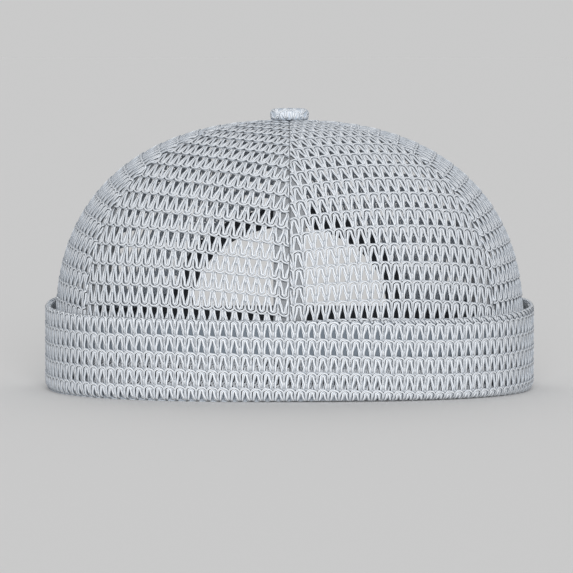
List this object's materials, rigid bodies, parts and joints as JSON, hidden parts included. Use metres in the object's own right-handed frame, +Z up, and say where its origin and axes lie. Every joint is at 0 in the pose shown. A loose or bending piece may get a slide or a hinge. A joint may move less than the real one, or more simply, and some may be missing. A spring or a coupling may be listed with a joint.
{
  "type": "mesh skull cap",
  "caption": "Openwork knit skull cap with a gored crown, a covered button on top, a turned-up cuff, a dark sweatband and a bound arch with a strap at the back.",
  "frame": {"origin": "on the surface that the cap rests on, under the middle of its box", "axes": "-Y towards the front, +X towards the wearer's left, +Z up to the button"},
  "size_m": [0.2176, 0.1662, 0.1251],
  "materials": {
    "crown_net": "pale grey openwork knit",
    "cuff_net": "pale grey openwork knit, turned up",
    "cuff_facing": "slate grey plain cloth",
    "sweatband": "near-black woven cloth",
    "arch_binding": "near-black tape",
    "back_strap": "pale grey woven strap",
    "seam_tape": "grey tape",
    "top_button": "pale grey net over a domed button"
  },
  "bodies": {
    "root": {"crown_front_right": "crown_net", "crown_side_right": "crown_net", "crown_back_right": "crown_net", "crown_back_left": "crown_net", "crown_side_left": "crown_net", "crown_front_left": "crown_net", "seam_tape_1": "seam_tape", "seam_tape_2": "seam_tape", "seam_tape_3": "seam_tape", "seam_tape_4": "seam_tape", "seam_tape_5": "seam_tape", "seam_tape_6": "seam_tape", "cuff": "cuff_net", "cuff_facing": "cuff_facing", "sweatband": "sweatband", "arch_binding": "arch_binding", "back_strap": "back_strap", "top_button": "top_button"}
  },
  "joints": []
}
